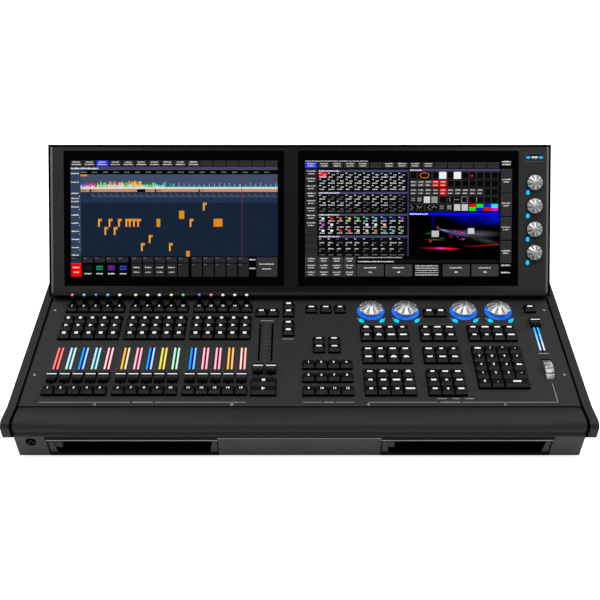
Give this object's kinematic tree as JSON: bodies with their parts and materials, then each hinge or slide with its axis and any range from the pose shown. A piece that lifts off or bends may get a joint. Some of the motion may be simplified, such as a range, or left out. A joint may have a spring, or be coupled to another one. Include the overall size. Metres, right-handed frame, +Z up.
{
  "type": "lighting control desk",
  "caption": "Sloping lighting control desk with playback faders, key banks, rotary encoders, a thumb wheel and a wide tilting touch display.",
  "frame": {"origin": "centre of the footprint on the surface the desk stands on", "axes": "+X to the operator's right, +Y away from the operator, +Z up"},
  "size_m": [0.86, 0.54, 0.3749],
  "materials": {
    "panel_paint": "matt",
    "case_paint": "matt",
    "armrest_rubber": "matt",
    "sheet_steel": "satin",
    "key_plastic": "satin",
    "cap_plastic": "satin",
    "knob_metal": "satin",
    "screen_glass": "gloss",
    "board_green": "satin",
    "foot_rubber": "matt",
    "socket_black": "satin"
  },
  "bodies": {
    "desk": {"base_pan": "case_paint", "front_bay_left": "sheet_steel", "front_bay_right": "sheet_steel", "foot_front_left": "foot_rubber", "foot_front_right": "foot_rubber", "foot_rear_left": "foot_rubber", "foot_rear_right": "foot_rubber", "armrest": "armrest_rubber", "left_cheek": "case_paint", "right_cheek": "case_paint", "rear_cover": "case_paint", "rear_panel": "case_paint", "dmx_connector_block": "socket_black", "power_inlet": "socket_black", "mainboard": "board_green", "power_supply": "sheet_steel", "control_panel": "panel_paint", "fader_board": "board_green", "hinge_bracket_left": "sheet_steel", "hinge_bracket_right": "sheet_steel"},
    "display": {"display_bezel": "case_paint", "left_screen": "screen_glass", "right_screen": "screen_glass", "display_back_cover": "case_paint", "usb_port": "sheet_steel"},
    "playback_fader_01": {"playback_fader_01": "cap_plastic"},
    "playback_fader_02": {"playback_fader_02": "cap_plastic"},
    "playback_fader_03": {"playback_fader_03": "cap_plastic"},
    "playback_fader_04": {"playback_fader_04": "cap_plastic"},
    "playback_fader_05": {"playback_fader_05": "cap_plastic"},
    "playback_fader_06": {"playback_fader_06": "cap_plastic"},
    "playback_fader_07": {"playback_fader_07": "cap_plastic"},
    "playback_fader_08": {"playback_fader_08": "cap_plastic"},
    "playback_fader_09": {"playback_fader_09": "cap_plastic"},
    "playback_fader_10": {"playback_fader_10": "cap_plastic"},
    "playback_fader_11": {"playback_fader_11": "cap_plastic"},
    "playback_fader_12": {"playback_fader_12": "cap_plastic"},
    "playback_fader_13": {"playback_fader_13": "cap_plastic"},
    "playback_fader_14": {"playback_fader_14": "cap_plastic"},
    "playback_fader_15": {"playback_fader_15": "cap_plastic"},
    "crossfader_1": {"crossfader_1": "cap_plastic"},
    "crossfader_2": {"crossfader_2": "cap_plastic"},
    "master_fader": {"master_fader": "cap_plastic"},
    "playback_keys": {"playback_keys": "key_plastic"},
    "flash_keys": {"flash_keys": "key_plastic"},
    "page_keys": {"page_keys": "key_plastic"},
    "centre_keys": {"centre_keys": "key_plastic"},
    "programmer_keys": {"programmer_keys": "key_plastic"},
    "numeric_keypad": {"numeric_keypad": "key_plastic"},
    "go_key": {"go_key": "key_plastic"},
    "stop_key": {"stop_key": "key_plastic"},
    "encoder_1": {"encoder_1": "knob_metal"},
    "encoder_2": {"encoder_2": "knob_metal"},
    "encoder_3": {"encoder_3": "knob_metal"},
    "encoder_4": {"encoder_4": "knob_metal"},
    "side_encoder_1": {"side_encoder_1": "knob_metal"},
    "side_encoder_2": {"side_encoder_2": "knob_metal"},
    "side_encoder_3": {"side_encoder_3": "knob_metal"},
    "side_encoder_4": {"side_encoder_4": "knob_metal"},
    "thumb_wheel": {"thumb_wheel": "knob_metal"}
  },
  "joints": [
    {"name": "display_tilt", "type": "hinge", "parent": "desk", "child": "display", "pos_m": [0, 0.0755, 0.16], "axis": [-1, 0, 0], "range_deg": [-8, 50]},
    {"name": "playback_fader_01_slide", "type": "slide", "parent": "desk", "child": "playback_fader_01", "axis": [0, 0.9781, 0.2079], "range_m": [0, 0.06]},
    {"name": "playback_fader_02_slide", "type": "slide", "parent": "desk", "child": "playback_fader_02", "axis": [0, 0.9781, 0.2079], "range_m": [0, 0.06]},
    {"name": "playback_fader_03_slide", "type": "slide", "parent": "desk", "child": "playback_fader_03", "axis": [0, 0.9781, 0.2079], "range_m": [0, 0.06]},
    {"name": "playback_fader_04_slide", "type": "slide", "parent": "desk", "child": "playback_fader_04", "axis": [0, 0.9781, 0.2079], "range_m": [0, 0.06]},
    {"name": "playback_fader_05_slide", "type": "slide", "parent": "desk", "child": "playback_fader_05", "axis": [0, 0.9781, 0.2079], "range_m": [0, 0.06]},
    {"name": "playback_fader_06_slide", "type": "slide", "parent": "desk", "child": "playback_fader_06", "axis": [0, 0.9781, 0.2079], "range_m": [0, 0.06]},
    {"name": "playback_fader_07_slide", "type": "slide", "parent": "desk", "child": "playback_fader_07", "axis": [0, 0.9781, 0.2079], "range_m": [0, 0.06]},
    {"name": "playback_fader_08_slide", "type": "slide", "parent": "desk", "child": "playback_fader_08", "axis": [0, 0.9781, 0.2079], "range_m": [0, 0.06]},
    {"name": "playback_fader_09_slide", "type": "slide", "parent": "desk", "child": "playback_fader_09", "axis": [0, 0.9781, 0.2079], "range_m": [0, 0.06]},
    {"name": "playback_fader_10_slide", "type": "slide", "parent": "desk", "child": "playback_fader_10", "axis": [0, 0.9781, 0.2079], "range_m": [0, 0.06]},
    {"name": "playback_fader_11_slide", "type": "slide", "parent": "desk", "child": "playback_fader_11", "axis": [0, 0.9781, 0.2079], "range_m": [0, 0.06]},
    {"name": "playback_fader_12_slide", "type": "slide", "parent": "desk", "child": "playback_fader_12", "axis": [0, 0.9781, 0.2079], "range_m": [0, 0.06]},
    {"name": "playback_fader_13_slide", "type": "slide", "parent": "desk", "child": "playback_fader_13", "axis": [0, 0.9781, 0.2079], "range_m": [0, 0.06]},
    {"name": "playback_fader_14_slide", "type": "slide", "parent": "desk", "child": "playback_fader_14", "axis": [0, 0.9781, 0.2079], "range_m": [0, 0.06]},
    {"name": "playback_fader_15_slide", "type": "slide", "parent": "desk", "child": "playback_fader_15", "axis": [0, 0.9781, 0.2079], "range_m": [0, 0.06]},
    {"name": "crossfader_1_slide", "type": "slide", "parent": "desk", "child": "crossfader_1", "axis": [0, 0.9781, 0.2079], "range_m": [0, 0.1]},
    {"name": "crossfader_2_slide", "type": "slide", "parent": "desk", "child": "crossfader_2", "axis": [0, 0.9781, 0.2079], "range_m": [0, 0.1]},
    {"name": "master_fader_slide", "type": "slide", "parent": "desk", "child": "master_fader", "axis": [0, 0.9781, 0.2079], "range_m": [-0.06, 0]},
    {"name": "playback_keys_press", "type": "slide", "parent": "desk", "child": "playback_keys", "axis": [0, -0.2079, 0.9781], "range_m": [-0.002, 0], "stiffness_N_per_m": 1500, "springref_m": 0.004},
    {"name": "flash_keys_press", "type": "slide", "parent": "desk", "child": "flash_keys", "axis": [0, -0.2079, 0.9781], "range_m": [-0.002, 0], "stiffness_N_per_m": 600, "springref_m": 0.004},
    {"name": "page_keys_press", "type": "slide", "parent": "desk", "child": "page_keys", "axis": [0, -0.2079, 0.9781], "range_m": [-0.002, 0], "stiffness_N_per_m": 300, "springref_m": 0.004},
    {"name": "centre_keys_press", "type": "slide", "parent": "desk", "child": "centre_keys", "axis": [0, -0.2079, 0.9781], "range_m": [-0.002, 0], "stiffness_N_per_m": 1000, "springref_m": 0.004},
    {"name": "programmer_keys_press", "type": "slide", "parent": "desk", "child": "programmer_keys", "axis": [0, -0.2079, 0.9781], "range_m": [-0.002, 0], "stiffness_N_per_m": 1500, "springref_m": 0.004},
    {"name": "numeric_keypad_press", "type": "slide", "parent": "desk", "child": "numeric_keypad", "axis": [0, -0.2079, 0.9781], "range_m": [-0.002, 0], "stiffness_N_per_m": 1000, "springref_m": 0.004},
    {"name": "go_key_press", "type": "slide", "parent": "desk", "child": "go_key", "axis": [0, -0.2079, 0.9781], "range_m": [-0.0025, 0], "stiffness_N_per_m": 300, "springref_m": 0.004},
    {"name": "stop_key_press", "type": "slide", "parent": "desk", "child": "stop_key", "axis": [0, -0.2079, 0.9781], "range_m": [-0.0025, 0], "stiffness_N_per_m": 300, "springref_m": 0.004},
    {"name": "encoder_1_turn", "type": "hinge", "parent": "desk", "child": "encoder_1", "pos_m": [0.1177, -0.00148, 0.1274], "axis": [0, -0.2079, 0.9781], "continuous": true},
    {"name": "encoder_2_turn", "type": "hinge", "parent": "desk", "child": "encoder_2", "pos_m": [0.175, -0.00148, 0.1274], "axis": [0, -0.2079, 0.9781], "continuous": true},
    {"name": "encoder_3_turn", "type": "hinge", "parent": "desk", "child": "encoder_3", "pos_m": [0.2708, -0.00148, 0.1274], "axis": [0, -0.2079, 0.9781], "continuous": true},
    {"name": "encoder_4_turn", "type": "hinge", "parent": "desk", "child": "encoder_4", "pos_m": [0.3282, -0.00148, 0.1274], "axis": [0, -0.2079, 0.9781], "continuous": true},
    {"name": "side_encoder_1_turn", "type": "hinge", "parent": "display", "child": "side_encoder_1", "pos_m": [0.3898, 0.05108, 0.21129], "axis": [0, -0.9205, 0.3907], "continuous": true},
    {"name": "side_encoder_2_turn", "type": "hinge", "parent": "display", "child": "side_encoder_2", "pos_m": [0.3898, 0.06624, 0.24701], "axis": [0, -0.9205, 0.3907], "continuous": true},
    {"name": "side_encoder_3_turn", "type": "hinge", "parent": "display", "child": "side_encoder_3", "pos_m": [0.3898, 0.0814, 0.28272], "axis": [0, -0.9205, 0.3907], "continuous": true},
    {"name": "side_encoder_4_turn", "type": "hinge", "parent": "display", "child": "side_encoder_4", "pos_m": [0.3898, 0.09656, 0.31844], "axis": [0, -0.9205, 0.3907], "continuous": true},
    {"name": "thumb_wheel_turn", "type": "hinge", "parent": "desk", "child": "thumb_wheel", "pos_m": [0.3825, -0.13776, 0.07594], "axis": [-1, 0, 0], "continuous": true}
  ]
}
